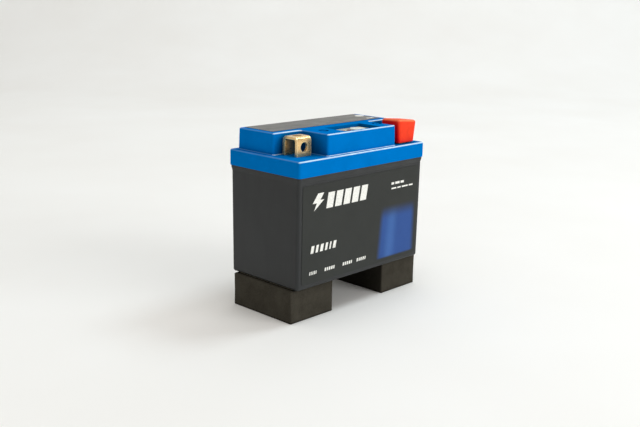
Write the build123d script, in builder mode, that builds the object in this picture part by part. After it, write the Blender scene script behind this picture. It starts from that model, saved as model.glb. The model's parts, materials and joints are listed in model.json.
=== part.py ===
from build123d import *
import os

# A 12 V lithium starter battery for a motorcycle, standing on two foam height spacers.
# Millimetres, +Z up. The origin is under the middle of the battery, on the surface it stands on.
# The long front side, with both terminals, faces -Y, and the positive terminal is at +X.

# ---- Driving dimensions ---------------------------------------------------------------------
lid_length = 107.0
lid_width = 57.0
battery_height = 84.5      # underside of the case to the top of the lid
spacer_height = 19.5       # foam block with its adhesive tape
case_depth = 63.3          # underside of the case to the lid's rim
rim_height = 9.1           # the lid's rim, from the case to the deck around the plateau
wall = 2.0                 # moulded walls of the case and of the lid
sheet = 1.5                # brass sheet of the terminals
cell_count = 4

# ---- Levels ---------------------------------------------------------------------------------
case_z = spacer_height
rim_z = case_z + case_depth
deck_z = rim_z + rim_height
top_z = case_z + battery_height

# ---- Case -----------------------------------------------------------------------------------
case_corner = 1.8
case_base_length, case_base_width = 106.0, 54.4
case_top_length, case_top_width = 106.2, 55.2
lip_length, lip_width = 106.6, 56.5
lip_chamfer_height = 2.2
lip_land_height = 1.0
lip_land_z = rim_z - lip_land_height
lip_start_z = lip_land_z - lip_chamfer_height
case_base_fillet = 1.5
floor_z = case_z + wall
tongue_length, tongue_width = 103.8, 53.6
tongue_thickness = 1.2
tongue_height = 2.0
tongue_corner = 2.4

# ---- Lid ------------------------------------------------------------------------------------
lid_corner = 1.3
rim_edge_fillet = 0.9
deck_thickness = 2.4
plateau_top = 2.2
plateau_half_length = 49.7
plateau_back_y = 25.5
pocket_wall_y = -4.3       # the wall behind each terminal, at the deck
nose_half_length = 29.3    # the part of the plateau between the terminals
nose_front_y = -25.9
plateau_draft = 2.0        # degrees
plateau_corner = 1.5
plateau_edge_fillet = 0.8
deck_cove = 0.5
cavity_length, cavity_width = 99.4, 48.4
groove_clearance = 0.2
groove_depth = 2.6

# ---- Terminals ------------------------------------------------------------------------------
terminal_width = 10.8
terminal_depth = 11.1
terminal_places = {"negative": (-38.8, -17.0), "positive": (40.8, -23.4)}    # middle x, front y
terminal_top_z = 102.7
front_leg_bottom_z = 87.4
back_leg_bottom_z = 82.4
bend_outside = 2.5
bolt_hole_radius = 2.75
bolt_hole_z = 97.0
rivet_radius = 1.25
rivet_z = 84.5
potting_bottom_z = 87.0
slot_clearance = 0.15
potting_margin_x, potting_margin_y = 2.2, 0.6

# ---- Charge indicator -----------------------------------------------------------------------
recess_length, recess_width, recess_depth = 30.3, 16.9, 2.1
recess_x, recess_y = 2.6, -15.1
indicator_y = -13.6        # the row of the button and the lenses
recess_floor_thickness = 1.6
recess_floor_z = top_z - recess_depth
recess_underside_z = recess_floor_z - recess_floor_thickness
button_x = 8.6
button_radius = 4.8
button_flange = 0.7
button_proud = 0.8
button_travel = 0.5
lens_xs = {"low_charge_lens": 1.0, "half_charge_lens": -4.0, "full_charge_lens": -9.0}
lens_radius = 1.4
lens_flange = 0.4
board_top_z = 96.6
board_thickness = 1.2
indicator_board_length, indicator_board_width = 37.0, 15.0
boss_points = [(recess_x - 15.8, recess_y), (recess_x + 15.8, recess_y)]

# ---- Cells and electronics ------------------------------------------------------------------
pad_height = 4.0
cell_length, cell_thickness, cell_height = 90.0, 7.2, 41.0
terrace_height, terrace_thickness = 3.0, 1.0
separator = 1.0
cell_pitch = cell_thickness + separator
cell_z = floor_z + pad_height
tab_x = 25.0
tab_width, tab_thickness = 10.0, 0.3
tab_start_z = cell_z + cell_height + terrace_height
holder_z, holder_thickness = 70.0, 2.0
balancer_z, balancer_thickness = 77.0, 1.6
balancer_top_z = balancer_z + balancer_thickness
post_x, post_y, post_radius = 44.0, 18.4, 2.5
link_thickness = 0.8
busbar_thickness = 1.0

cell_ys = [(index - (cell_count - 1) / 2) * cell_pitch for index in range(cell_count)]
tab_points = [(side * tab_x, y) for y in cell_ys for side in (-1, 1)]
post_points = [(sx * post_x, sy * post_y) for sx in (-1, 1) for sy in (-1, 1)]
stack_half = cell_ys[-1] + cell_thickness / 2

tongue_inner_length = tongue_length - 2 * tongue_thickness
tongue_inner_width = tongue_width - 2 * tongue_thickness
tongue_inner_corner = tongue_corner - tongue_thickness

os.makedirs("parts", exist_ok=True)


def finish(builder, name):
    """Labels a finished piece and writes it as parts/name.step."""
    builder.part.label = name
    export_step(builder.part, f"parts/{name}.step")


def plateau_outline(inset):
    """The T-shaped plan of the lid's plateau, drawn inward by inset, as lines in the open BuildLine."""
    side = plateau_half_length - inset
    nose = nose_half_length - inset
    back = plateau_back_y - inset
    pocket = pocket_wall_y + inset
    front = nose_front_y + inset
    Polyline(
        (-side, back), (-side, pocket), (-nose, pocket), (-nose, front),
        (nose, front), (nose, pocket), (side, pocket), (side, back), close=True,
    )


# ---- Case: a tapered tub with a chamfered lip and a tongue that enters the lid ---------------
with BuildPart() as case:
    with BuildSketch(Plane.XY.offset(case_z)):
        RectangleRounded(case_base_length, case_base_width, case_corner)
    with BuildSketch(Plane.XY.offset(lip_start_z)):
        RectangleRounded(case_top_length, case_top_width, case_corner)
    loft()
    fillet(faces().sort_by(Axis.Z)[0].edges(), case_base_fillet)
    with BuildSketch(Plane.XY.offset(lip_start_z)):
        RectangleRounded(case_top_length, case_top_width, case_corner)
    with BuildSketch(Plane.XY.offset(lip_land_z)):
        RectangleRounded(lip_length, lip_width, case_corner)
    loft()
    with BuildSketch(Plane.XY.offset(lip_land_z)):
        RectangleRounded(lip_length, lip_width, case_corner)
    extrude(amount=lip_land_height)
    with BuildSketch(Plane.XY.offset(rim_z)):
        RectangleRounded(tongue_length, tongue_width, tongue_corner)
    extrude(amount=tongue_height)
    with BuildSketch(Plane.XY.offset(floor_z)):
        RectangleRounded(case_base_length - 2 * wall, case_base_width - 2 * wall, tongue_inner_corner)
    with BuildSketch(Plane.XY.offset(rim_z + tongue_height)):
        RectangleRounded(tongue_inner_length, tongue_inner_width, tongue_inner_corner)
    loft(mode=Mode.SUBTRACT)
finish(case, "case")

# ---- Lid: rim, deck, T-shaped plateau, indicator recess and polarity marks -------------------
minus_mark, plus_mark = (recess_x - 22.8, indicator_y), (recess_x + 22.8, indicator_y)
mark_radius, mark_depth = 3.0, 0.5
mark_arm, mark_bar = 4.0, 1.2

with BuildPart() as lid:
    with BuildSketch(Plane.XY.offset(rim_z)):
        RectangleRounded(lid_length, lid_width, lid_corner)
    extrude(amount=rim_height)
    fillet(faces().sort_by(Axis.Z)[-1].edges(), rim_edge_fillet)
    with BuildSketch(Plane.XY.offset(deck_z)):
        with BuildLine():
            plateau_outline(0)
        make_face()
        fillet(vertices(), plateau_corner)
    extrude(amount=top_z - deck_z, taper=plateau_draft)
    fillet(faces().sort_by(Axis.Z)[-1].edges(), plateau_edge_fillet)
    deck_edges = edges().filter_by_position(Axis.Z, deck_z - 0.01, deck_z + 0.01)
    fillet(
        deck_edges.filter_by(
            lambda edge: abs(edge.center().X) < plateau_half_length + 0.1
            and nose_front_y - 0.1 < edge.center().Y < plateau_back_y + 0.1
        ),
        deck_cove,
    )
    # hollow inside
    with BuildSketch(Plane.XY.offset(rim_z)):
        RectangleRounded(cavity_length, cavity_width, lid_corner)
    extrude(amount=rim_height - deck_thickness, mode=Mode.SUBTRACT)
    with BuildSketch(Plane.XY.offset(deck_z - deck_thickness)):
        with BuildLine():
            plateau_outline(wall + 0.4)
        make_face()
    extrude(amount=top_z - plateau_top - (deck_z - deck_thickness), mode=Mode.SUBTRACT)
    # thicker floor and two screw bosses under the recess
    with BuildSketch(Plane.XY.offset(recess_underside_z)):
        with Locations((recess_x, recess_y)):
            Rectangle(recess_length + 2 * wall, recess_width + wall)
    extrude(amount=recess_floor_thickness)
    with BuildSketch(Plane.XY.offset(board_top_z)):
        with Locations(boss_points):
            Circle(2.3)
    extrude(amount=recess_underside_z - board_top_z)
    # recess for the charge indicator, with holes for the button and the three lenses
    with BuildSketch(Plane.XY.offset(recess_floor_z)):
        with Locations((recess_x, recess_y)):
            RectangleRounded(recess_length, recess_width, 1.0)
    extrude(amount=recess_depth, mode=Mode.SUBTRACT)
    with Locations((button_x, indicator_y, recess_floor_z)):
        Hole(button_radius + 0.2, depth=recess_floor_thickness)
    with Locations([(x, indicator_y, recess_floor_z) for x in lens_xs.values()]):
        Hole(lens_radius + 0.05, depth=recess_floor_thickness)
    with Locations([Plane((x, y, board_top_z), z_dir=(0, 0, -1)) for x, y in boss_points]):
        Hole(0.9, depth=3.0)
    # round polarity marks with raised signs, minus at -X and plus at +X
    with BuildSketch(Plane.XY.offset(top_z)):
        with Locations(minus_mark, plus_mark):
            Circle(mark_radius)
        with Locations(minus_mark, plus_mark):
            Rectangle(mark_arm, mark_bar, mode=Mode.SUBTRACT)
        with Locations(plus_mark):
            Rectangle(mark_bar, mark_arm, mode=Mode.SUBTRACT)
    extrude(amount=-mark_depth, mode=Mode.SUBTRACT)
    # slots that the terminal legs pass through
    with BuildSketch(Plane.XY.offset(deck_z)):
        for x, front_y in terminal_places.values():
            with Locations((x, front_y + sheet / 2), (x, front_y + terminal_depth - sheet / 2)):
                Rectangle(terminal_width + 2 * slot_clearance, sheet + 2 * slot_clearance)
    extrude(amount=-deck_thickness, mode=Mode.SUBTRACT)
    # groove for the tongue of the case
    with BuildSketch(Plane.XY.offset(rim_z)):
        RectangleRounded(
            tongue_length + 2 * groove_clearance, tongue_width + 2 * groove_clearance,
            tongue_corner + groove_clearance,
        )
        RectangleRounded(
            tongue_inner_length - 2 * groove_clearance, tongue_inner_width - 2 * groove_clearance,
            tongue_inner_corner - groove_clearance, mode=Mode.SUBTRACT,
        )
    extrude(amount=groove_depth, mode=Mode.SUBTRACT)
finish(lid, "lid")

# ---- Adhesive bead between the tongue and the bottom of the groove ---------------------------
with BuildPart() as lid_seal:
    with BuildSketch(Plane.XY.offset(rim_z + tongue_height)):
        RectangleRounded(tongue_length, tongue_width, tongue_corner)
        RectangleRounded(
            tongue_inner_length, tongue_inner_width, tongue_inner_corner, mode=Mode.SUBTRACT,
        )
    extrude(amount=groove_depth - tongue_height)
finish(lid_seal, "lid_seal")

# ---- Labels: thin printed films --------------------------------------------------------------
film = 0.2
top_label_length, top_label_width, top_label_y = 92.2, 23.2, 12.1
front_label_length, front_label_height, front_label_middle_z = 99.9, 55.7, 50.1

with BuildPart() as top_label:
    with BuildSketch(Plane.XY.offset(top_z)):
        with Locations((0, top_label_y)):
            RectangleRounded(top_label_length, top_label_width, 1.0)
    extrude(amount=film)
finish(top_label, "top_label")

front_slope = (case_top_width - case_base_width) / 2 / (lip_start_z - case_z)
front_label_y = -(case_base_width / 2 + front_slope * (front_label_middle_z - case_z))
front_plane = Plane(
    origin=(0, front_label_y, front_label_middle_z),
    x_dir=(1, 0, 0),
    z_dir=(0, -1, -front_slope),
)
with BuildPart() as front_label:
    with BuildSketch(front_plane):
        RectangleRounded(front_label_length, front_label_height, 1.2)
    extrude(amount=film)
finish(front_label, "front_label")

with BuildPart() as indicator_label:
    with BuildSketch(Plane.XY.offset(recess_floor_z)):
        with Locations((recess_x, recess_y)):
            RectangleRounded(recess_length - 0.6, recess_width - 0.6, 0.8)
        with Locations((button_x, indicator_y)):
            Circle(button_radius + 0.3, mode=Mode.SUBTRACT)
        with Locations([(x, indicator_y) for x in lens_xs.values()]):
            Circle(lens_radius + 0.15, mode=Mode.SUBTRACT)
    extrude(amount=film)
finish(indicator_label, "indicator_label")


# ---- Terminals: brass sheet bent into an inverted U, with bolt holes in front and on top -----
def terminal(x, front_y):
    """One terminal bracket centred at x; its legs reach through the lid's deck."""
    height = terminal_top_z - back_leg_bottom_z
    centre_y = front_y + terminal_depth / 2
    with BuildPart() as bracket:
        with BuildSketch(Plane.YZ.offset(x - terminal_width / 2)):
            with Locations((centre_y, back_leg_bottom_z + height / 2)):
                Rectangle(terminal_depth, height)
            fillet(vertices().group_by(Axis.Y)[-1], bend_outside)
        extrude(amount=terminal_width)
        with BuildSketch(Plane.YZ.offset(x - terminal_width / 2)):
            with Locations((centre_y, back_leg_bottom_z + (height - sheet) / 2)):
                Rectangle(terminal_depth - 2 * sheet, height - sheet)
            fillet(vertices().group_by(Axis.Y)[-1], bend_outside - sheet)
        extrude(amount=terminal_width, mode=Mode.SUBTRACT)
        with Locations((x, front_y + sheet / 2, back_leg_bottom_z)):
            Box(
                terminal_width, sheet, front_leg_bottom_z - back_leg_bottom_z,
                align=(Align.CENTER, Align.CENTER, Align.MIN), mode=Mode.SUBTRACT,
            )
        with Locations(Plane((x, front_y, bolt_hole_z), z_dir=(0, -1, 0))):
            Hole(bolt_hole_radius, depth=sheet)
        with Locations((x, centre_y, terminal_top_z)):
            Hole(bolt_hole_radius, depth=sheet)
        with Locations(Plane((x, front_y + terminal_depth, rivet_z), z_dir=(0, 1, 0))):
            Hole(rivet_radius, depth=sheet)
    return bracket


def terminal_seal(x, front_y, bracket):
    """The potting that holds and seals a terminal's legs under the deck."""
    with BuildPart() as seal:
        with Locations((x, front_y + terminal_depth / 2, potting_bottom_z)):
            Box(
                terminal_width + 2 * potting_margin_x, terminal_depth + 2 * potting_margin_y,
                deck_z - deck_thickness - potting_bottom_z,
                align=(Align.CENTER, Align.CENTER, Align.MIN),
            )
        add(bracket.part, mode=Mode.SUBTRACT)
    return seal


for side, (x, front_y) in terminal_places.items():
    bracket = terminal(x, front_y)
    finish(bracket, f"{side}_terminal")
    finish(terminal_seal(x, front_y, bracket), f"{side}_terminal_seal")

# ---- Red boot over the positive terminal, with a top that falls to the right and to the back --
cap_wall, cap_ceiling = 0.8, 1.0
cap_bottom_z, cap_top_z = 92.7, 107.0           # the top is given at its front left corner
cap_fall_x, cap_fall_y = 0.09, 0.04             # mm down per mm to the right and to the back
cap_corner, cap_edge_fillet = 1.8, 1.6
cap_top_edges = (32.3, 49.4, -25.6, -11.3)      # low x, high x, low y, high y at the top
cap_bottom_edges = (33.4, 48.1, -25.0, -11.3)   # the same at the open end
rib_gap, rib_offset, rib_width, rib_length, rib_root = 0.1, 4.4, 1.2, 9.0, 0.3
wall_rib_gap, wall_rib_height, left_rib_depth, front_rib_depth = 0.3, 7.0, 1.55, 1.0
cable_exit_width, cable_exit_height, cable_exit_corner = 7.8, 7.0, 2.0


def cap_taper(inset, top_plane):
    """The boot's tapered block, drawn inward by inset and cut off along top_plane."""
    with BuildPart() as taper:
        for z, edges_at in ((cap_bottom_z, cap_bottom_edges), (cap_top_z, cap_top_edges)):
            low_x, high_x, low_y, high_y = edges_at
            length, width = high_x - low_x - 2 * inset, high_y - low_y - 2 * inset
            with BuildSketch(Plane.XY.offset(z)):
                with Locations(((low_x + high_x) / 2, (low_y + high_y) / 2)):
                    RectangleRounded(length, width, cap_corner - inset)
        loft()
        split(bisect_by=top_plane, keep=Keep.BOTTOM)
    return taper


cap_top_plane = Plane(
    origin=(cap_top_edges[0], cap_top_edges[2], cap_top_z), z_dir=(cap_fall_x, cap_fall_y, 1),
)
cap_block = cap_taper(0, cap_top_plane)
cap_hollow = cap_taper(cap_wall, cap_top_plane.offset(-cap_ceiling))
covered_x, rib_y = terminal_places["positive"][0], terminal_places["positive"][1] + terminal_depth / 2

with BuildPart() as positive_terminal_cap:
    add(cap_block.part)
    fillet(faces().sort_by(Axis.Z)[-1].edges(), cap_edge_fillet)
    add(cap_hollow.part, mode=Mode.SUBTRACT)
    # the cable leaves through the right wall, in line with the space between the terminal's legs
    with BuildSketch(Plane.YZ.offset(covered_x + terminal_width / 2)):
        with Locations((rib_y, cap_bottom_z)):
            RectangleRounded(cable_exit_width, 2 * cable_exit_height, cable_exit_corner)
    extrude(amount=terminal_width / 2, mode=Mode.SUBTRACT)
    # a rib on the left wall and one on the front wall centre the boot on the terminal
    with Locations((covered_x - terminal_width / 2 - wall_rib_gap, rib_y, cap_bottom_z)):
        Box(left_rib_depth, rib_width, wall_rib_height, align=(Align.MAX, Align.CENTER, Align.MIN))
    with Locations((covered_x, terminal_places["positive"][1] - wall_rib_gap, cap_bottom_z)):
        Box(rib_width, front_rib_depth, wall_rib_height, align=(Align.CENTER, Align.MAX, Align.MIN))
    # two ribs under the ceiling rest on the terminal
    for rib_x in (covered_x - rib_offset, covered_x + rib_offset):
        fall = cap_fall_x * (rib_x - cap_top_edges[0]) + cap_fall_y * (rib_y - cap_top_edges[2])
        rib_top_z = cap_top_z - cap_ceiling - fall + rib_root
        with BuildSketch(Plane.XY.offset(terminal_top_z + rib_gap)):
            with Locations((rib_x, rib_y)):
                Rectangle(rib_width, rib_length)
        extrude(amount=rib_top_z - terminal_top_z - rib_gap)
finish(positive_terminal_cap, "positive_terminal_cap")

# ---- Test button, its switch and the three indicator lenses ----------------------------------
flange_top_z = recess_underside_z - 0.1
flange_thickness = 0.9
plunger_top_z = flange_top_z - flange_thickness - 0.5
switch_body_top_z = plunger_top_z - button_travel - 0.3

with BuildPart() as test_button:
    with BuildSketch(Plane.XY.offset(flange_top_z - flange_thickness)):
        with Locations((button_x, indicator_y)):
            Circle(button_radius + button_flange)
    extrude(amount=flange_thickness)
    with BuildSketch(Plane.XY.offset(flange_top_z)):
        with Locations((button_x, indicator_y)):
            Circle(button_radius)
    extrude(amount=recess_floor_z + button_proud - flange_top_z)
    fillet(edges().group_by(Axis.Z)[-1], 0.4)
    with BuildSketch(Plane.XY.offset(plunger_top_z)):
        with Locations((button_x, indicator_y)):
            Circle(1.6)
    extrude(amount=0.5)
finish(test_button, "test_button")

with BuildPart() as switch_body:
    with Locations((button_x, indicator_y, board_top_z)):
        Box(6.0, 6.0, switch_body_top_z - board_top_z, align=(Align.CENTER, Align.CENTER, Align.MIN))
    with Locations((button_x, indicator_y, switch_body_top_z)):
        Hole(1.7, depth=switch_body_top_z - board_top_z - 0.1)
finish(switch_body, "switch_body")

with BuildPart() as switch_plunger:
    with Locations((button_x, indicator_y, plunger_top_z)):
        Cylinder(
            1.5, plunger_top_z - board_top_z - button_travel - 0.2,
            align=(Align.CENTER, Align.CENTER, Align.MAX),
        )
finish(switch_plunger, "switch_plunger")

led_height = 0.8
for name, x in lens_xs.items():
    with BuildPart() as lens:
        lens_bottom_z = board_top_z + led_height + 0.2
        with BuildSketch(Plane.XY.offset(lens_bottom_z)):
            with Locations((x, indicator_y)):
                Circle(lens_radius)
        extrude(amount=recess_floor_z + 0.7 - lens_bottom_z)
        fillet(edges().group_by(Axis.Z)[-1], 0.6)
        with BuildSketch(Plane.XY.offset(recess_underside_z - 0.8)):
            with Locations((x, indicator_y)):
                Circle(lens_radius + lens_flange)
        extrude(amount=0.8)
    finish(lens, name)

with BuildPart() as indicator_board:
    with BuildSketch(Plane.XY.offset(board_top_z - board_thickness)):
        with Locations((recess_x, recess_y)):
            Rectangle(indicator_board_length, indicator_board_width)
        with Locations(boss_points):
            Circle(1.2, mode=Mode.SUBTRACT)
    extrude(amount=board_thickness)
finish(indicator_board, "indicator_board")

with BuildPart() as indicator_leds:
    with Locations([(x, indicator_y, board_top_z) for x in lens_xs.values()]):
        Box(2.0, 1.25, led_height, align=(Align.CENTER, Align.CENTER, Align.MIN))
finish(indicator_leds, "indicator_leds")


def pan_head_screw(shank_radius, shank_length, head_radius, head_height):
    """A small pan-head screw in the open BuildPart: head from z 0 upward, shank from z 0 downward."""
    Cylinder(head_radius, head_height, align=(Align.CENTER, Align.CENTER, Align.MIN))
    Cylinder(shank_radius, shank_length, align=(Align.CENTER, Align.CENTER, Align.MAX))


with BuildPart() as indicator_screws:
    board_underside_z = board_top_z - board_thickness
    with Locations([Plane((x, y, board_underside_z), z_dir=(0, 0, -1)) for x, y in boss_points]):
        pan_head_screw(0.85, board_thickness + 2.6, 1.9, 1.3)
finish(indicator_screws, "indicator_screws")

# ---- Four pouch cells with their tabs, stacked from front to back ----------------------------
for number, y in enumerate(cell_ys, start=1):
    with BuildPart() as pouch:
        with Locations((0, y, cell_z)):
            Box(cell_length, cell_thickness, cell_height, align=(Align.CENTER, Align.CENTER, Align.MIN))
        fillet(edges(), 1.5)
        with Locations((0, y, cell_z + cell_height - 1.0)):
            Box(
                cell_length - 4.0, terrace_thickness, terrace_height + 1.0,
                align=(Align.CENTER, Align.CENTER, Align.MIN),
            )
    finish(pouch, f"cell_{number}_pouch")
    # polarity alternates, so that neighbouring tabs join in series
    right_polarity = "positive" if number % 2 else "negative"
    left_polarity = "negative" if number % 2 else "positive"
    for polarity, x in ((left_polarity, -tab_x), (right_polarity, tab_x)):
        with BuildPart() as tab:
            with Locations((x, y, tab_start_z)):
                Box(
                    tab_width, tab_thickness, balancer_top_z + 1.5 - tab_start_z,
                    align=(Align.CENTER, Align.CENTER, Align.MIN),
                )
        finish(tab, f"cell_{number}_{polarity}_tab")

with BuildPart() as cell_separators:
    for low_y, high_y in zip(cell_ys, cell_ys[1:]):
        with Locations((0, (low_y + high_y) / 2, cell_z + 1.0)):
            Box(
                cell_length - 4.0, separator, cell_height - 2.0,
                align=(Align.CENTER, Align.CENTER, Align.MIN),
            )
finish(cell_separators, "cell_separators")

# ---- Foam pads that wedge the stack in the case ----------------------------------------------
side_pad_outer = case_base_width / 2 - wall - 0.1
end_pad_outer = tongue_inner_length / 2 - 0.1

with BuildPart() as base_pad:
    with Locations((0, 0, floor_z)):
        Box(94.0, 2 * stack_half + 6.0, pad_height, align=(Align.CENTER, Align.CENTER, Align.MIN))
finish(base_pad, "base_pad")

for name, side in (("front_pad", -1), ("back_pad", 1)):
    with BuildPart() as side_pad:
        with Locations((0, side * (stack_half + side_pad_outer) / 2, cell_z)):
            Box(
                cell_length - 4.0, side_pad_outer - stack_half, cell_height,
                align=(Align.CENTER, Align.CENTER, Align.MIN),
            )
    finish(side_pad, name)

for name, side in (("left_end_pad", -1), ("right_end_pad", 1)):
    with BuildPart() as end_pad:
        with Locations((side * (cell_length / 2 + end_pad_outer) / 2, 0, cell_z)):
            Box(
                end_pad_outer - cell_length / 2, 2 * stack_half - 4.0, cell_height,
                align=(Align.CENTER, Align.CENTER, Align.MIN),
            )
    finish(end_pad, name)

# ---- Tab holder: a plate with tab slots and four posts for the balancer board ----------------
with BuildPart() as tab_holder:
    with BuildSketch(Plane.XY.offset(holder_z)):
        RectangleRounded(98.0, 46.0, 1.5)
        with Locations(tab_points):
            Rectangle(tab_width + 1.0, 1.6, mode=Mode.SUBTRACT)
    extrude(amount=holder_thickness)
    with BuildSketch(Plane.XY.offset(holder_z + holder_thickness)):
        with Locations(post_points):
            Circle(post_radius)
    extrude(amount=balancer_z - holder_z - holder_thickness)
    with Locations([(x, y, balancer_z) for x, y in post_points]):
        Hole(1.15, depth=4.5)
finish(tab_holder, "tab_holder")

# ---- Balancer board with its resistors, controllers and screws -------------------------------
with BuildPart() as balancer_board:
    with BuildSketch(Plane.XY.offset(balancer_z)):
        RectangleRounded(94.0, 42.0, 1.0)
        with Locations(tab_points):
            Rectangle(tab_width + 0.6, 0.9, mode=Mode.SUBTRACT)
        with Locations(post_points):
            Circle(1.4, mode=Mode.SUBTRACT)
    extrude(amount=balancer_thickness)
finish(balancer_board, "balancer_board")

with BuildPart() as balance_resistors:
    with Locations([(x, y, balancer_top_z) for x in (-6.0, 10.0) for y in (-8.2, 0.0, 8.2)]):
        Box(6.3, 3.2, 0.6, align=(Align.CENTER, Align.CENTER, Align.MIN))
finish(balance_resistors, "balance_resistors")

with BuildPart() as balance_controllers:
    with Locations([(2.0, y, balancer_top_z) for y in cell_ys]):
        Box(4.9, 3.9, 1.5, align=(Align.CENTER, Align.CENTER, Align.MIN))
finish(balance_controllers, "balance_controllers")

with BuildPart() as board_screws:
    with Locations([(x, y, balancer_top_z) for x, y in post_points]):
        pan_head_screw(1.1, 5.5, 2.2, 1.6)
finish(board_screws, "board_screws")

# ---- Copper: series links between neighbouring cells, and a busbar to each terminal ----------
for number, (front_y, back_y) in enumerate(zip(cell_ys, cell_ys[1:]), start=1):
    link_x = -tab_x if number % 2 else tab_x
    with BuildPart() as link:
        with BuildSketch(Plane.XY.offset(balancer_top_z)):
            with Locations((link_x, (front_y + back_y) / 2)):
                Rectangle(tab_width + 2.0, cell_pitch - 1.4)
                Rectangle(tab_width - 2.0, cell_pitch - tab_thickness)
        extrude(amount=link_thickness)
    finish(link, f"series_link_{number}")

busbar_width = 9.0


def busbar(x, upright_front_y, plan_points):
    """A flat copper strip on the balancer board with an upright that meets a terminal's back leg."""
    with BuildPart() as bar:
        with BuildSketch(Plane.XY.offset(balancer_top_z)):
            with BuildLine():
                Polyline(*plan_points, close=True)
            make_face()
        extrude(amount=busbar_thickness)
        with Locations((x, upright_front_y + busbar_thickness / 2, balancer_top_z)):
            Box(
                busbar_width, busbar_thickness, potting_bottom_z - 0.2 - balancer_top_z,
                align=(Align.CENTER, Align.CENTER, Align.MIN),
            )
        with Locations(Plane((x, upright_front_y + busbar_thickness, rivet_z), z_dir=(0, 1, 0))):
            Hole(rivet_radius, depth=busbar_thickness)
    return bar


half_bar = busbar_width / 2
screw_side = post_x - 2.8    # the bars stay this far in, beside the heads of the board screws
uprights = {side: (x, front_y + terminal_depth) for side, (x, front_y) in terminal_places.items()}

bar_x, bar_y = uprights["positive"]
tab_y = cell_ys[0]
positive_plan = [
    (tab_x - 5.0, tab_y - tab_thickness / 2), (tab_x - 5.0, tab_y - 5.6),
    (screw_side, tab_y - 5.6), (screw_side, tab_y - 3.2),
    (bar_x + half_bar, tab_y - 3.2), (bar_x + half_bar, bar_y + busbar_thickness),
    (bar_x - half_bar, bar_y + busbar_thickness), (bar_x - half_bar, tab_y - tab_thickness / 2),
]
finish(busbar(bar_x, bar_y, positive_plan), "positive_busbar")

bar_x, bar_y = uprights["negative"]
tab_y = cell_ys[-1]
negative_plan = [
    (tab_x + 5.0, tab_y + tab_thickness / 2), (tab_x + 5.0, tab_y + 6.4),
    (-screw_side, tab_y + 6.4), (-screw_side, tab_y + 3.2),
    (bar_x - half_bar, tab_y + 3.2), (bar_x - half_bar, bar_y),
    (bar_x + half_bar, bar_y), (bar_x + half_bar, tab_y + 2.2),
    (tab_x - 5.0, tab_y + 2.2), (tab_x - 5.0, tab_y + tab_thickness / 2),
]
finish(busbar(bar_x, bar_y, negative_plan), "negative_busbar")

with BuildPart() as busbar_rivets:
    for x, leg_back_y in uprights.values():
        with Locations(Plane((x, leg_back_y - sheet, rivet_z), z_dir=(0, 1, 0))):
            Cylinder(
                rivet_radius - 0.05, sheet + busbar_thickness,
                align=(Align.CENTER, Align.CENTER, Align.MIN),
            )
            Cylinder(2.1, 0.8, align=(Align.CENTER, Align.CENTER, Align.MAX))
        with Locations(Plane((x, leg_back_y + busbar_thickness, rivet_z), z_dir=(0, 1, 0))):
            Cylinder(2.1, 0.8, align=(Align.CENTER, Align.CENTER, Align.MIN))
finish(busbar_rivets, "busbar_rivets")

# ---- Flat cable between the two boards, with a connector on each -----------------------------
cable_x, cable_width, cable_thickness = 0.0, 6.0, 0.8
connector_height = 3.0
cable_top_z = board_underside_z - connector_height
cable_bottom_z = balancer_top_z + connector_height
cable_top_y, cable_bottom_y = -13.0, -16.8
connector_points = [(cable_x, cable_top_y, board_underside_z - connector_height),
                    (cable_x, cable_bottom_y, balancer_top_z)]

with BuildPart() as cable_connectors:
    with Locations(connector_points):
        Box(8.0, 3.4, connector_height, align=(Align.CENTER, Align.CENTER, Align.MIN))
finish(cable_connectors, "cable_connectors")

with BuildPart() as indicator_cable:
    with BuildSketch(Plane.YZ.offset(cable_x - cable_width / 2)):
        with BuildLine():
            FilletPolyline(
                (cable_top_y, cable_top_z), (cable_top_y, cable_top_z - 3.5),
                (cable_bottom_y, cable_bottom_z + 3.5), (cable_bottom_y, cable_bottom_z),
                radius=4.0,
            )
        trace(line_width=cable_thickness)
    extrude(amount=cable_width)
finish(indicator_cable, "indicator_cable")

# ---- Foam height spacers, taped under the case -----------------------------------------------
tape = 0.4
spacer_width = 47.8
spacer_spans = {"left_spacer": (-54.4, -20.9), "right_spacer": (23.1, 55.0)}    # low x, high x
spacer_edge = 0.8
tape_margin = 1.0
tape_reach = case_base_length / 2 - case_base_fillet    # the tape stays on the flat underside

for name, (low_x, high_x) in spacer_spans.items():
    with BuildPart() as spacer:
        with Locations(((low_x + high_x) / 2, 0, 0)):
            Box(
                high_x - low_x, spacer_width, spacer_height - tape,
                align=(Align.CENTER, Align.CENTER, Align.MIN),
            )
        fillet(edges().filter_by(Axis.Z), spacer_edge)
        fillet(faces().sort_by(Axis.Z)[-1].edges(), spacer_edge / 2)
    finish(spacer, name)
    tape_low_x = max(low_x + tape_margin, -tape_reach)
    tape_high_x = min(high_x - tape_margin, tape_reach)
    with BuildPart() as spacer_tape:
        with Locations(((tape_low_x + tape_high_x) / 2, 0, spacer_height - tape)):
            Box(
                tape_high_x - tape_low_x, spacer_width - 4 * tape_margin, tape,
                align=(Align.CENTER, Align.CENTER, Align.MIN),
            )
    finish(spacer_tape, f"{name}_tape")
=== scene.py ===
import json
import math

import bmesh
import bpy
from mathutils import Matrix, Vector, noise


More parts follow.
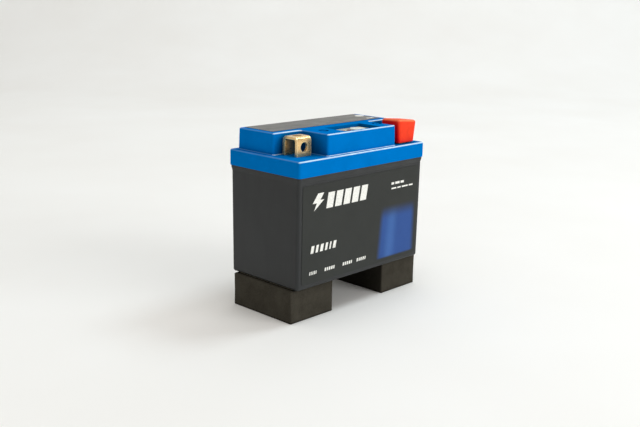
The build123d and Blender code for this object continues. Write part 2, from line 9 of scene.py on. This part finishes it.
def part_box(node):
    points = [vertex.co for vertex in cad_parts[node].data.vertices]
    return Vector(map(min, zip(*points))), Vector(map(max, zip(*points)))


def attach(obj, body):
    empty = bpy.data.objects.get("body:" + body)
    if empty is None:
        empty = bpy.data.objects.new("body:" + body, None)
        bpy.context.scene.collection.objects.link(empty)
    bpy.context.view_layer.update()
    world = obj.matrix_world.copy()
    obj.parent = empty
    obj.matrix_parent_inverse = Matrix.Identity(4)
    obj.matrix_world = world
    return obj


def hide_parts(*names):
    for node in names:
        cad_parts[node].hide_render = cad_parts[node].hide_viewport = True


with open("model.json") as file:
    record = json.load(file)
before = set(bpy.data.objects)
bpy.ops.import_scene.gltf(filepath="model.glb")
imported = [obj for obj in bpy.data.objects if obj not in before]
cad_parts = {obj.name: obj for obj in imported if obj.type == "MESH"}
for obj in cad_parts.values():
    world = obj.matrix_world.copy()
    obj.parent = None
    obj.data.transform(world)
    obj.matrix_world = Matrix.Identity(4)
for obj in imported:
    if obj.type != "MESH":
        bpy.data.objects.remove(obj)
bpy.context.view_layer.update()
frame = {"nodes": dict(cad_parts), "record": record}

# A motorcycle battery on two foam spacers, on a pale studio sweep. Everything is in metres, in the
# CAD frame: +Z up, the long side with the terminals faces -Y, and the positive terminal is at +X.

MM = 0.001
TINY = 1e-9
BODY = "battery"

# ---- Camera: in front of the left corner, a little above the lid ------------------------------
CAMERA_PLACE = (-0.36570, -0.34325, 0.17414)
CAMERA_YAW, CAMERA_PITCH, CAMERA_ROLL = 46.21, -13.894, 1.037    # degrees
LENS, SENSOR_WIDTH = 48.195, 36.0                                # mm

# ---- Light ------------------------------------------------------------------------------------
WORLD_LEVEL = 0.50
KEY_WATTS = 17.5
OVERHEAD_WATTS = 11.0
FRONT_WATTS = 8.0
BACKDROP_WATTS = 3.5
COOL_WHITE, WARM_WHITE, PLAIN_WHITE = (0.80, 0.92, 1.0), (1.0, 0.975, 0.94), (1.0, 1.0, 1.0)
WORLD_WHITE = (1.0, 0.97, 0.93, 1.0)


def linear(red, green, blue):
    """Display values from 0 to 255 as a linear colour with alpha."""
    def one(value):
        value /= 255.0
        return value / 12.92 if value <= 0.04045 else ((value + 0.055) / 1.055) ** 2.4
    return (one(red), one(green), one(blue), 1.0)


def tinted(shade, factor, lift=0.0):
    """A linear colour multiplied by factor and raised by lift, at most white."""
    return tuple(min(1.0, c * factor + lift) for c in shade[:3]) + (1.0,)


# The stretch of a noise's values that a span usually takes: soft or crisp patches
SOFT, CRISP = (0.3, 0.7), (0.35, 0.65)


class Surface:
    """A Principled material under construction. Its patterns use object coordinates in metres."""

    def __init__(self, name, **sockets):
        self.material = bpy.data.materials.new(name)
        self.material.use_nodes = True
        self.tree = self.material.node_tree
        self.shader = self.tree.nodes["Principled BSDF"]
        self.place = self.node("ShaderNodeTexCoord").outputs["Object"]
        for socket, value in sockets.items():
            self.shader.inputs[socket.replace("_", " ")].default_value = value

    def node(self, kind, settings=None, **inputs):
        """Adds a node; inputs are values or the sockets that feed them, by name with _ for a space."""
        made = self.tree.nodes.new(kind)
        for key, value in (settings or {}).items():
            setattr(made, key, value)
        for key, value in inputs.items():
            socket = made.inputs[key.replace("_", " ")]
            if isinstance(value, bpy.types.NodeSocket):
                self.tree.links.new(value, socket)
            else:
                socket.default_value = value
        return made

    def math(self, operation, first, second=0.0, third=0.0):
        """One math node; each operand is a value or a socket."""
        made = self.node("ShaderNodeMath", {"operation": operation})
        for index, value in enumerate((first, second, third)):
            if isinstance(value, bpy.types.NodeSocket):
                self.tree.links.new(value, made.inputs[index])
            else:
                made.inputs[index].default_value = value
        return made.outputs[0]

    def stretched(self, scale):
        """Object coordinates multiplied by scale on each axis."""
        return self.node("ShaderNodeMapping", Vector=self.place, Scale=scale).outputs["Vector"]

    def noise(self, size, detail=3.0, roughness=0.55, vector=None, distortion=0.0):
        """Noise from 0 to 1 whose blobs are about size metres wide."""
        made = self.node(
            "ShaderNodeTexNoise", Vector=vector or self.place, Scale=1.0 / size,
            Detail=detail, Roughness=roughness, Distortion=distortion,
        )
        return made.outputs["Fac"]

    def cells(self, size):
        """Distance to the middle of the nearest cell, for cells about size metres wide."""
        made = self.node("ShaderNodeTexVoronoi", Vector=self.place, Scale=1.0 / size)
        return made.outputs["Distance"]

    def span(self, value, low, high, to_low=0.0, to_high=1.0, smooth=False):
        """Maps value from low..high to to_low..to_high, clamped."""
        settings = {"interpolation_type": "SMOOTHSTEP"} if smooth else {}
        made = self.node(
            "ShaderNodeMapRange", settings, Value=value, From_Min=low, From_Max=high,
            To_Min=to_low, To_Max=to_high,
        )
        return made.outputs["Result"]

    def blend(self, share, first, second, mode="MIX"):
        """Mixes two colours by share; each may be a value or a socket."""
        made = self.node("ShaderNodeMix", {"data_type": "RGBA", "blend_type": mode})
        for socket, value in ((made.inputs[0], share), (made.inputs[6], first), (made.inputs[7], second)):
            if isinstance(value, bpy.types.NodeSocket):
                self.tree.links.new(value, socket)
            else:
                socket.default_value = value
        return made.outputs[2]

    def axis(self, index):
        """One object coordinate, in metres."""
        return self.node("ShaderNodeSeparateXYZ", Vector=self.place).outputs[index]

    def edges(self, radius):
        """About 1 within radius of a sharp edge, 0 on flats."""
        rounded = self.node("ShaderNodeBevel", {"samples": 6}, Radius=radius).outputs["Normal"]
        flat = self.node("ShaderNodeNewGeometry").outputs["Normal"]
        dot = self.node("ShaderNodeVectorMath", {"operation": "DOT_PRODUCT"})
        self.tree.links.new(rounded, dot.inputs[0])
        self.tree.links.new(flat, dot.inputs[1])
        return self.span(dot.outputs["Value"], 0.995, 0.90)

    def roundings(self, sideways):
        """1 where the surface turns from level to upright, as on rounded top edges and coves; it places
        painted highlights.

        Those that don't face the front, -Y, get only the sideways share."""
        normal = self.node("ShaderNodeNewGeometry").outputs["Normal"]
        facing = self.node("ShaderNodeSeparateXYZ", Vector=normal).outputs
        turning = self.math("MULTIPLY", self.span(facing[2], 0.15, 0.5), self.span(facing[2], 0.995, 0.96))
        return self.math("MULTIPLY", turning, self.span(facing[1], -0.1, -0.35, sideways, 1.0))

    def painted_gap_shade(self, reach, shut, open_from, darkest):
        """1 on open faces, falling to darkest in gaps narrower than about reach; it darkens colours as
        painted shade.
        """
        seen = self.node("ShaderNodeAmbientOcclusion", {"samples": 8}, Distance=reach).outputs["AO"]
        return self.span(seen, shut, open_from, darkest, 1.0)

    def dimmed(self, value, share):
        """A colour multiplied by a share."""
        grey = self.node("ShaderNodeCombineColor", Red=share, Green=share, Blue=share).outputs[0]
        return self.blend(1.0, value, grey, "MULTIPLY")

    def colour(self, value):
        self.tree.links.new(value, self.shader.inputs["Base Color"])

    def roughness(self, value):
        self.tree.links.new(value, self.shader.inputs["Roughness"])

    def metallic(self, value):
        self.tree.links.new(value, self.shader.inputs["Metallic"])

    def bump(self, height, depth, strength=1.0, over=None):
        """Bump of depth metres, on top of an earlier bump if over is given."""
        made = self.node("ShaderNodeBump", Height=height, Distance=depth, Strength=strength)
        if over is not None:
            self.tree.links.new(over, made.inputs["Normal"])
        self.tree.links.new(made.outputs["Normal"], self.shader.inputs["Normal"])
        return made.outputs["Normal"]


def moulded_plastic(name, shade, roughness, grain_size, grain_depth, mottling=0.06, edge_wear_and_highlight=0.25,
                    specular=0.5, painted_glint=None, reach=5 * MM, open_from=0.6):
    """Moulded plastic: a fine grain, slight mottling, handling marks in the gloss and paler edges, the pale
    edges partly wear and partly a painted highlight.

    A glint colour is painted on the rounded edges that face upward, as a painted highlight, and the colour
    is darkened in recesses and narrow gaps as painted shade."""
    skin = Surface(name, IOR=1.5, Specular_IOR_Level=specular)
    mottle = skin.noise(14 * MM, 4.0)
    dark = tinted(shade, 1 - mottling)
    light = tinted(shade, 1 + mottling)
    body = skin.blend(skin.span(mottle, *CRISP), dark, light)
    pale = tinted(shade, 1.25, 0.012)
    # paler edges: partly edge wear, partly a painted edge highlight
    broken = skin.math("MULTIPLY", skin.edges(0.35 * MM), skin.span(skin.noise(3 * MM), *SOFT))
    finished = skin.blend(skin.math("MULTIPLY", broken, edge_wear_and_highlight), body, pale)
    # painted highlight: the glint colour on rounded edges that face up, mostly those facing the front
    if painted_glint:
        uneven = skin.span(skin.noise(5 * MM), *SOFT, 0.6, 1.0)
        finished = skin.blend(skin.math("MULTIPLY", skin.roundings(0.12), uneven), finished, painted_glint)
    # painted shade: the colour is darkened in recesses and narrow gaps between parts
    skin.colour(skin.dimmed(finished, skin.painted_gap_shade(reach, 0.25, open_from, 0.35)))
    smears = skin.noise(9 * MM, 5.0, vector=skin.stretched((1.0, 1.0, 0.35)), distortion=0.6)
    skin.roughness(skin.span(smears, *SOFT, roughness - 0.05, roughness + 0.06))
    grain = skin.noise(grain_size, 2.0, 0.6)
    coarse = skin.bump(skin.noise(6 * MM, 2.0), 0.02 * MM, 0.35)
    skin.bump(grain, grain_depth, 0.8, over=coarse)
    return skin.material


def printed_film(name, shade, roughness):
    """Printed plastic film: a tight orange peel, a faint dot screen and slightly uneven gloss."""
    skin = Surface(name, IOR=1.48, Specular_IOR_Level=0.45)
    screen = skin.cells(0.25 * MM)
    darker = tinted(shade, 0.93)
    ink = skin.blend(skin.span(screen, 0.1, 0.6), darker, shade)
    clouds = skin.span(skin.noise(11 * MM, 4.0), *CRISP, 0.0, 1.0)
    lighter = tinted(shade, 1.06)
    skin.colour(skin.blend(skin.math("MULTIPLY", clouds, 0.5), ink, lighter))
    skin.roughness(skin.span(skin.noise(7 * MM, 4.0), *SOFT, roughness - 0.05, roughness + 0.05))
    peel = skin.bump(skin.noise(1.6 * MM, 3.0), 0.006 * MM, 0.6)
    skin.bump(skin.noise(12 * MM, 2.0), 0.03 * MM, 0.4, over=peel)
    return skin.material


def front_film():
    """The dark front label, with a soft-edged blue panel of light printed near its right end."""
    base = linear(54, 56, 54)
    skin = Surface("front_film", IOR=1.48, Specular_IOR_Level=0.1)
    low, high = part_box("front_label")
    x, z = skin.axis(0), skin.axis(2)
    centre = (low.x + high.x) / 2
    lean = 0.085                                  # the panel's left side moves right by this share going up
    leaning_x = skin.math("SUBTRACT", x, skin.math("MULTIPLY", skin.math("SUBTRACT", z, low.z), lean))
    # each side of the panel fades in over the stretch between two distances
    left_side = skin.span(leaning_x, centre + 12.0 * MM, centre + 17.0 * MM, smooth=True)
    right_side = skin.span(x, centre + 49.0 * MM, centre + 44.0 * MM, smooth=True)
    top_side = skin.span(z, low.z + 35.0 * MM, low.z + 25.0 * MM, smooth=True)
    bottom_side = skin.span(z, low.z + 1.6 * MM, low.z + 3.2 * MM, smooth=True)
    across = skin.math("MULTIPLY", left_side, right_side)
    panel = skin.math("MULTIPLY", across, skin.math("MULTIPLY", top_side, bottom_side))
    streak_x, streak_half_width = centre + 24.0 * MM, 7.0 * MM
    off_streak = skin.math("ABSOLUTE", skin.math("SUBTRACT", leaning_x, streak_x))
    streak = skin.span(off_streak, streak_half_width, 0.0, smooth=True)
    screen = skin.span(skin.cells(0.25 * MM), 0.1, 0.6, 0.9, 1.0)
    blue = skin.blend(streak, linear(49, 83, 148), linear(63, 102, 166))
    ink = skin.blend(skin.math("MULTIPLY", panel, 0.95), base, blue)
    clouds = skin.span(skin.noise(16 * MM, 4.0), *CRISP, 0.97, 1.04)
    tone = skin.math("MULTIPLY", screen, clouds)
    skin.colour(skin.dimmed(ink, tone))
    skin.roughness(skin.span(skin.noise(9 * MM, 4.0), *SOFT, 0.42, 0.52))
    peel = skin.bump(skin.noise(1.6 * MM, 3.0), 0.006 * MM, 0.5)
    skin.bump(skin.noise(15 * MM, 2.0), 0.03 * MM, 0.3, over=peel)
    return skin.material


def stamped_metal(name, shade, dull):
    """Stamped sheet metal: fine rolling lines, light tarnish, painted highlights on the edges and painted
    shade in the inside corners.
    """
    skin = Surface(name)
    lines = skin.noise(0.6 * MM, 3.0, vector=skin.stretched((0.12, 1.0, 1.0)))
    tarnish = skin.span(skin.noise(5 * MM, 3.0, distortion=0.4), 0.40, 0.85)
    body = skin.blend(skin.math("MULTIPLY", tarnish, 0.15), shade, dull)
    # painted highlight: a pale colour along sharp edges, which are also made less metallic
    edge_highlight = tinted(shade, 1.2, 0.2)
    edge = skin.edges(0.55 * MM)
    edge_lit = skin.blend(edge, body, edge_highlight)
    # painted shade: darker in inside corners and narrow gaps
    skin.colour(skin.dimmed(edge_lit, skin.painted_gap_shade(9 * MM, 0.1, 0.42, 0.35)))
    skin.metallic(skin.math("MULTIPLY_ADD", edge, -0.75, 1.0))
    uneven = skin.math("MULTIPLY", tarnish, 0.06)
    skin.roughness(skin.math("ADD", skin.span(lines, *SOFT, 0.24, 0.32), uneven))
    skin.bump(skin.noise(2.5 * MM, 2.0), 0.002 * MM, 0.1)
    return skin.material


def soft_pvc(name, shade):
    """Dipped soft PVC: slightly see-through, satin, with a faint wavy skin, a painted orange highlight on
    rounded edges and a painted deeper-red shade in narrow gaps.
    """
    skin = Surface(
        name, IOR=1.5, Specular_IOR_Level=0.02, Subsurface_Weight=0.2,
        Subsurface_Radius=(1.0, 0.18, 0.08), Subsurface_Scale=0.8 * MM,
    )
    deep = tinted(shade, 0.86)
    body = skin.blend(skin.span(skin.noise(5 * MM, 4.0), *CRISP), deep, shade)
    # painted highlight: pale orange on rounded edges that face up, mostly toward the front
    highlit = skin.blend(skin.math("MULTIPLY", skin.roundings(1.0), 0.9), body, linear(255, 128, 88))
    # painted shade: deep crimson in narrow gaps
    skin.colour(skin.blend(skin.painted_gap_shade(9 * MM, 0.55, 0.9, 0.0), linear(238, 8, 30), highlit))
    skin.roughness(skin.span(skin.noise(3.5 * MM, 4.0), *SOFT, 0.36, 0.48))
    wavy = skin.bump(skin.noise(4 * MM, 2.0), 0.05 * MM, 0.4)
    skin.bump(skin.noise(0.35 * MM, 2.0), 0.008 * MM, 0.6, over=wavy)
    return skin.material


def cut_foam(name, shade, cell, depth):
    """Closed-cell foam with cut faces: torn cells whose pits are painted darker as shade, paler rims painted
    as a highlight, drifting density, and painted shade on faces in narrow gaps.
    """
    skin = Surface(name, IOR=1.4, Specular_IOR_Level=0.0)
    torn = skin.cells(cell)
    fine = skin.noise(cell * 0.5, 3.0)
    pale = tinted(shade, 1.5, 0.004)
    dark = tinted(shade, 0.62)
    # painted shade: darker in the pits of the torn cells, where the bump sinks
    pores = skin.blend(skin.span(torn, 0.12, 0.62), dark, shade)
    density = skin.span(skin.noise(8 * MM, 4.0), 0.35, 0.7, 0.0, 0.5)
    mixed = skin.blend(density, pores, pale)
    # painted highlight: paler rims along the edges
    edge_lit = skin.blend(skin.math("MULTIPLY", skin.edges(0.5 * MM), 0.5), mixed, pale)
    # painted shade: much darker on faces that look into narrow gaps, such as the sides between the two
    # blocks
    skin.colour(skin.dimmed(edge_lit, skin.painted_gap_shade(60 * MM, 0.18, 0.45, 0.2)))
    skin.roughness(skin.span(fine, *SOFT, 0.82, 0.96))
    rough = skin.bump(torn, depth, 0.8)
    skin.bump(fine, depth * 0.5, 0.6, over=rough)
    return skin.material


def clear_tint(name, shade):
    """Tinted indicator window: glossy, slightly milky, with a faint moulding swirl."""
    skin = Surface(name, IOR=1.49, Transmission_Weight=0.25, Coat_Weight=0.4, Coat_Roughness=0.1)
    swirl = skin.noise(1.2 * MM, 3.0, distortion=1.0)
    milky = tinted(shade, 1.2, 0.02)
    skin.colour(skin.blend(skin.span(swirl, 0.35, 0.7), shade, milky))
    skin.roughness(skin.span(swirl, *SOFT, 0.10, 0.18))
    skin.bump(skin.noise(0.8 * MM, 2.0), 0.01 * MM, 0.4)
    return skin.material


def circuit_laminate(name):
    """Green solder mask over a woven laminate, with copper runs that show through it."""
    skin = Surface(name, IOR=1.5, Coat_Weight=0.3, Coat_Roughness=0.2)
    weave = skin.node("ShaderNodeTexBrick", {"offset": 0.5}, Vector=skin.place, Scale=420.0,
                   Mortar_Size=0.012, Brick_Width=0.5, Row_Height=0.25)
    mask = skin.blend(skin.span(skin.noise(5 * MM, 3.0), *CRISP), linear(16, 84, 46), linear(24, 104, 58))
    runs = skin.span(weave.outputs["Fac"], 0.2, 0.8)
    skin.colour(skin.blend(skin.math("MULTIPLY", runs, 0.7), mask, linear(92, 138, 60)))
    skin.roughness(skin.span(skin.noise(4 * MM, 3.0), *SOFT, 0.25, 0.38))
    skin.bump(runs, 0.02 * MM, 0.6)
    return skin.material


def crinkled_foil(name, shade):
    """Laminated foil of a pouch cell: shallow creases, painted darker where they sink as painted shade, and
    soft metallic gloss.
    """
    skin = Surface(name, Metallic=0.85)
    creases = skin.noise(7 * MM, 5.0, distortion=1.4)
    dim = tinted(shade, 0.8)
    # painted shade: darker where the crease bump sinks
    skin.colour(skin.blend(skin.span(creases, *CRISP), dim, shade))
    skin.roughness(skin.span(skin.noise(3 * MM, 4.0), *SOFT, 0.3, 0.45))
    skin.bump(creases, 0.2 * MM, 0.5)
    return skin.material


def white_ink():
    """Screen-printed white ink, a little uneven where it is thin."""
    skin = Surface("white_ink", IOR=1.45)
    thin = skin.span(skin.noise(0.7 * MM, 4.0), 0.32, 0.6)
    skin.colour(skin.blend(thin, linear(222, 222, 216), linear(246, 246, 240)))
    skin.roughness(skin.span(skin.noise(2 * MM, 3.0), *SOFT, 0.5, 0.62))
    skin.bump(skin.noise(0.2 * MM, 2.0), 0.004 * MM, 0.5)
    return skin.material


def studio_paper():
    """The pale sweep: matt paper with a barely visible tooth."""
    skin = Surface("studio_paper", Specular_IOR_Level=0.2)
    tooth = skin.noise(2 * MM, 4.0)
    clouds = skin.span(skin.noise(250 * MM, 3.0), *SOFT)
    skin.colour(skin.blend(clouds, linear(242, 241, 238), linear(246, 246, 244)))
    skin.roughness(skin.span(tooth, *SOFT, 0.75, 0.9))
    skin.bump(tooth, 0.02 * MM, 0.3)
    return skin.material


# ---- Materials of the CAD nodes ---------------------------------------------------------------
MOULDED = {
    "case_plastic": dict(shade=linear(41, 43, 44), roughness=0.46, grain_size=0.28 * MM,
                         grain_depth=0.020 * MM, mottling=0.05, specular=0.3),
    # the lid's glint is a painted pale-cyan highlight on its rounded edges; reach and open_from widen the
    # painted shade in its pockets
    "lid_plastic": dict(shade=linear(0, 114, 194), roughness=0.26, grain_size=0.40 * MM,
                        grain_depth=0.005 * MM, mottling=0.04, edge_wear_and_highlight=0.05, specular=0.0,
                        painted_glint=linear(214, 240, 255), reach=17 * MM, open_from=0.76),
    "adhesive": dict(shade=linear(40, 40, 40), roughness=0.6, grain_size=0.8 * MM, grain_depth=0.03 * MM),
    "potting": dict(shade=linear(30, 30, 30), roughness=0.45, grain_size=1.2 * MM, grain_depth=0.02 * MM),
    "white_plastic": dict(shade=linear(216, 222, 214), roughness=0.38, grain_size=0.5 * MM,
                          grain_depth=0.004 * MM, mottling=0.03),
    "black_plastic": dict(shade=linear(34, 34, 35), roughness=0.5, grain_size=0.4 * MM,
                          grain_depth=0.01 * MM),
    "cable_sheath": dict(shade=linear(150, 150, 148), roughness=0.5, grain_size=0.6 * MM,
                         grain_depth=0.01 * MM),
}
FILMS = {
    "top_film": dict(shade=linear(62, 61, 58), roughness=0.36),
    "pale_film": dict(shade=linear(178, 184, 164), roughness=0.42),
    "tape": dict(shade=linear(120, 112, 92), roughness=0.6),
}
METALS = {
    "terminal_brass": dict(shade=linear(238, 200, 140), dull=linear(200, 156, 96)),
    "screw_steel": dict(shade=linear(188, 188, 186), dull=linear(140, 140, 138)),
    "copper": dict(shade=linear(214, 134, 94), dull=linear(150, 84, 54)),
    "nickel_tab": dict(shade=linear(192, 188, 180), dull=linear(150, 146, 138)),
    "aluminium_tab": dict(shade=linear(206, 207, 209), dull=linear(164, 164, 166)),
}
FOAMS = {
    "pad_foam": dict(shade=linear(78, 78, 78), cell=0.9 * MM, depth=0.08 * MM),
    "spacer_foam": dict(shade=linear(63, 60, 53), cell=0.55 * MM, depth=0.05 * MM),
}
TINTS = {
    "red_lens": dict(shade=linear(120, 20, 22)),
    "amber_lens": dict(shade=linear(168, 104, 22)),
    "green_lens": dict(shade=linear(28, 104, 70)),
}
FAMILIES = (
    (moulded_plastic, MOULDED), (printed_film, FILMS), (stamped_metal, METALS), (cut_foam, FOAMS),
    (clear_tint, TINTS),
)
MATERIALS = {name: make(name, **look) for make, looks in FAMILIES for name, look in looks.items()}
MATERIALS["red_boot"] = soft_pvc("red_boot", linear(255, 72, 44))
MATERIALS["circuit_board"] = circuit_laminate("circuit_board")
MATERIALS["pouch_laminate"] = crinkled_foil("pouch_laminate", linear(206, 207, 210))
WHITE_INK = white_ink()
OWN_MATERIAL = {"front_label": front_film(), "top_label": MATERIALS["top_film"]}

for part in frame["record"]["subparts"]:
    node = frame["nodes"][part["node"]]
    chosen = OWN_MATERIAL.get(part["node"]) or MATERIALS[part["material_slot"]]
    node.data.materials.clear()
    node.data.materials.append(chosen)


# ---- Foam spacers -----------------------------------------------------------------------------
def foam_block(name, cad_node):
    """A block of cut foam in the CAD block's box: soft edges, slightly hollow sides, faint cutting waves."""
    low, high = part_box(cad_node)
    centre, half = (low + high) / 2, (high - low) / 2
    step, edge, hollow = 1.0 * MM, 0.35 * MM, 0.12 * MM
    wave, wave_length = 0.05 * MM, 7 * MM
    mesh = bmesh.new()
    bmesh.ops.create_cube(mesh, size=2.0)
    for axis in range(3):
        count = round(2 * half[axis] / step)
        for index in range(1, count):
            direction = Vector((0, 0, 0))
            direction[axis] = 1.0
            geometry = list(mesh.verts) + list(mesh.edges) + list(mesh.faces)
            bmesh.ops.bisect_plane(
                mesh, geom=geometry, plane_co=direction * (-1 + 2 * index / count), plane_no=direction,
            )
    for vertex in mesh.verts:
        point = Vector((vertex.co[i] * half[i] for i in range(3)))
        inner = Vector((max(-half[i] + edge, min(half[i] - edge, point[i])) for i in range(3)))
        offset = point - inner
        if offset.length > TINY:
            offset.normalize()
        place = inner + offset * edge
        bowed = hollow * (1 - (point.z / half.z) ** 2)
        rippled = wave * (0.5 + 0.5 * noise.noise((place + centre) / wave_length))
        for i in (0, 1):
            place[i] -= offset[i] * (bowed + rippled)
        vertex.co = centre + place
    mesh.normal_update()
    data = bpy.data.meshes.new(name)
    mesh.to_mesh(data)
    mesh.free()
    for polygon in data.polygons:
        polygon.use_smooth = True
    block = bpy.data.objects.new(name, data)
    bpy.context.scene.collection.objects.link(block)
    data.materials.append(MATERIALS["spacer_foam"])
    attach(block, BODY)
    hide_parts(cad_node)


foam_block("left_foam_spacer", "left_spacer")
foam_block("right_foam_spacer", "right_spacer")


# ---- Prints: thin raised ink on the labels, all plain shapes ----------------------------------
INK = 0.03 * MM


def ink_shape(name, outlines, to_place):
    """A print made of flat outlines, each a closed list of (across, up) in mm, raised by INK."""
    mesh = bmesh.new()
    for outline in outlines:
        ground = [mesh.verts.new(to_place(a, b, -INK)) for a, b in outline]
        top = [mesh.verts.new(to_place(a, b, INK)) for a, b in outline]
        mesh.faces.new(top)
        mesh.faces.new(list(reversed(ground)))
        for index in range(len(outline)):
            following = (index + 1) % len(outline)
            mesh.faces.new([ground[index], ground[following], top[following], top[index]])
    bmesh.ops.recalc_face_normals(mesh, faces=mesh.faces)
    data = bpy.data.meshes.new(name)
    mesh.to_mesh(data)
    mesh.free()
    data.materials.append(WHITE_INK)
    shape = bpy.data.objects.new(name, data)
    bpy.context.scene.collection.objects.link(shape)
    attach(shape, BODY)


FRONT_LOW, FRONT_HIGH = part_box("front_label")
FILM = 0.2 * MM         # thickness of the front label


def on_front(across, up, out):
    """A point on the front label: across from its middle and up from its lower edge, in mm."""
    z = FRONT_LOW.z + up * MM
    rise = (z - FRONT_LOW.z) / (FRONT_HIGH.z - FRONT_LOW.z)    # the label leans out, so its face moves to -Y
    y = (FRONT_HIGH.y - FILM) + rise * (FRONT_LOW.y - FRONT_HIGH.y + FILM)
    return Vector(((FRONT_LOW.x + FRONT_HIGH.x) / 2 + across * MM, y - out, z))


TOP_LOW, TOP_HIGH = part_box("top_label")


def on_top(across, up, out):
    """A point on the top label: across from its middle and back from its front edge, in mm."""
    x = (TOP_LOW.x + TOP_HIGH.x) / 2 + across * MM
    return Vector((x, TOP_LOW.y + up * MM, TOP_HIGH.z + out))


def leaning_bar(left, right, bottom, top, lean=0.0):
    """A bar whose upper side is shifted by lean, in mm."""
    return [(left, bottom), (right, bottom), (right + lean, top), (left + lean, top)]


def bar_row(left, right, bottom, top, widths, gap, lean=0.0):
    """Bars of the given relative widths between left and right, with equal gaps, in mm."""
    room = right - left - gap * (len(widths) - 1)
    bars, start = [], left
    for width in widths:
        end = start + room * width / sum(widths)
        bars.append(leaning_bar(start, end, bottom, top, lean))
        start = end + gap
    return bars


def oval(across, up, half_width, half_height, segments=40):
    """The outline of an oval, in mm."""
    turns = [2 * math.pi * index / segments for index in range(segments)]
    return [(across + half_width * math.cos(t), up + half_height * math.sin(t)) for t in turns]


def lightning(left, right, bottom, top):
    """A plain lightning bolt in the given box, in mm."""
    points = [(0.52, 1.0), (0.98, 1.0), (0.70, 0.60), (1.0, 0.60), (0.22, 0.0), (0.42, 0.44), (0.10, 0.44)]
    return [(left + a * (right - left), bottom + b * (top - bottom)) for a, b in reversed(points)]


# each row of bars: left, right, bottom, top, relative widths, gap and lean
FRONT_ROWS = {
    "level_print": (-31.6, 1.6, 41.2, 50.0, (1, 1, 1, 1, 1), 1.7, 1.6),
    "upper_line_print": (24.5, 36.2, 46.6, 48.0, (1, 1.6, 1.2), 1.0),
    "lower_line_print": (24.8, 45.0, 43.8, 44.7, (1.4, 1, 1.8, 1.2), 1.1),
    "middle_print": (-43.4, -23.4, 17.2, 21.4, (1, 0.8, 1, 0.8, 0.5, 1), 1.7, 0.9),
}
FOOT_ENDS = ((-44.0, -38.5), (-31.8, -23.8), (-16.8, -9.0), (-4.8, 3.0))
for index, (left, right) in enumerate(FOOT_ENDS, start=1):
    FRONT_ROWS[f"foot_print_{index}"] = (left, right, 4.9, 6.8, (1, 0.8, 1, 1, 0.8), 0.62, 0.3)

ink_shape("bolt_print", [lightning(-43.4, -33.4, 41.0, 50.6)], on_front)
for name, row in FRONT_ROWS.items():
    ink_shape(name, bar_row(*row), on_front)
ink_shape("oval_print", [oval(42.6, 14.6, 3.3, 2.6)], on_top)
ink_shape("corner_line_print", bar_row(37.8, 43.6, 3.4, 5.2, (1, 1.4), 0.8), on_top)


# ---- Studio: a pale sweep, soft lights and the camera -----------------------------------------
def sweep():
    """A floor that curves up into a wall behind the object, square to the camera's direction."""
    yaw = math.radians(CAMERA_YAW)
    away = Vector((math.sin(yaw), math.cos(yaw), 0))
    right = Vector((math.cos(yaw), -math.sin(yaw), 0))
    near, bend_start, radius, wall_height, half_width = -1.6, 1.1, 0.9, 2.2, 3.4
    steps = 24
    profile = [(near, 0.0), (-0.4, 0.0), (0.4, 0.0), (bend_start, 0.0)]
    for index in range(1, steps + 1):
        turn = math.radians(90 * index / steps)
        profile.append((bend_start + radius * math.sin(turn), radius * (1 - math.cos(turn))))
    profile.append((bend_start + radius, wall_height))
    columns = (-1, -0.33, 0.33, 1)
    mesh = bmesh.new()
    rows = []
    for distance, height in profile:
        middle = away * distance + Vector((0, 0, height))
        rows.append([mesh.verts.new(middle + right * side * half_width) for side in columns])
    for lower, upper in zip(rows, rows[1:]):
        for index in range(len(columns) - 1):
            mesh.faces.new([lower[index], lower[index + 1], upper[index + 1], upper[index]])
    mesh.normal_update()
    data = bpy.data.meshes.new("studio_sweep")
    mesh.to_mesh(data)
    mesh.free()
    for polygon in data.polygons:
        polygon.use_smooth = True
    backdrop = bpy.data.objects.new("studio_sweep", data)
    bpy.context.scene.collection.objects.link(backdrop)
    data.materials.append(studio_paper())


def area_light(name, place, target, size, watts, colour):
    """A rectangular light of size metres at place, aimed at target."""
    light = bpy.data.lights.new(name, "AREA")
    light.shape = "RECTANGLE"
    light.size, light.size_y = size
    light.energy = watts
    light.color = colour
    holder = bpy.data.objects.new(name, light)
    bpy.context.scene.collection.objects.link(holder)
    holder.location = place
    holder.rotation_euler = (Vector(target) - Vector(place)).to_track_quat("-Z", "Y").to_euler()


def set_world():
    """An even, slightly warm surround."""
    world = bpy.data.worlds.new("studio_world")
    bpy.context.scene.world = world
    world.use_nodes = True
    background = world.node_tree.nodes["Background"]
    background.inputs["Color"].default_value = WORLD_WHITE
    background.inputs["Strength"].default_value = WORLD_LEVEL


def set_camera():
    """The camera, turned by yaw from +Y toward +X, then by pitch, then by roll."""
    data = bpy.data.cameras.new("camera")
    data.sensor_width = SENSOR_WIDTH
    data.lens = LENS
    camera = bpy.data.objects.new("camera", data)
    bpy.context.scene.collection.objects.link(camera)
    turn = (
        Matrix.Rotation(math.radians(-CAMERA_YAW), 4, "Z")
        @ Matrix.Rotation(math.radians(90 + CAMERA_PITCH), 4, "X")
        @ Matrix.Rotation(math.radians(CAMERA_ROLL), 4, "Z")
    )
    camera.matrix_world = Matrix.Translation(CAMERA_PLACE) @ turn
    bpy.context.scene.camera = camera


sweep()
set_world()
area_light("key", place=(1.45, -0.45, 2.1), target=(0, 0, 0.05), size=(0.75, 0.75),
           watts=KEY_WATTS, colour=COOL_WHITE)
area_light("overhead", place=(-0.1, -0.1, 2.2), target=(0, 0, 0), size=(1.5, 1.5),
           watts=OVERHEAD_WATTS, colour=WARM_WHITE)
area_light("backdrop_fill", place=(1.5, 0.7, 1.9), target=(1.2, 1.9, 0.5), size=(1.2, 1.2),
           watts=BACKDROP_WATTS, colour=PLAIN_WHITE)
area_light("front_fill", place=(0.35, -1.3, 0.55), target=(0, 0, 0.05), size=(0.9, 0.7),
           watts=FRONT_WATTS, colour=PLAIN_WHITE)
set_camera()
bpy.context.scene.view_settings.view_transform = "Standard"
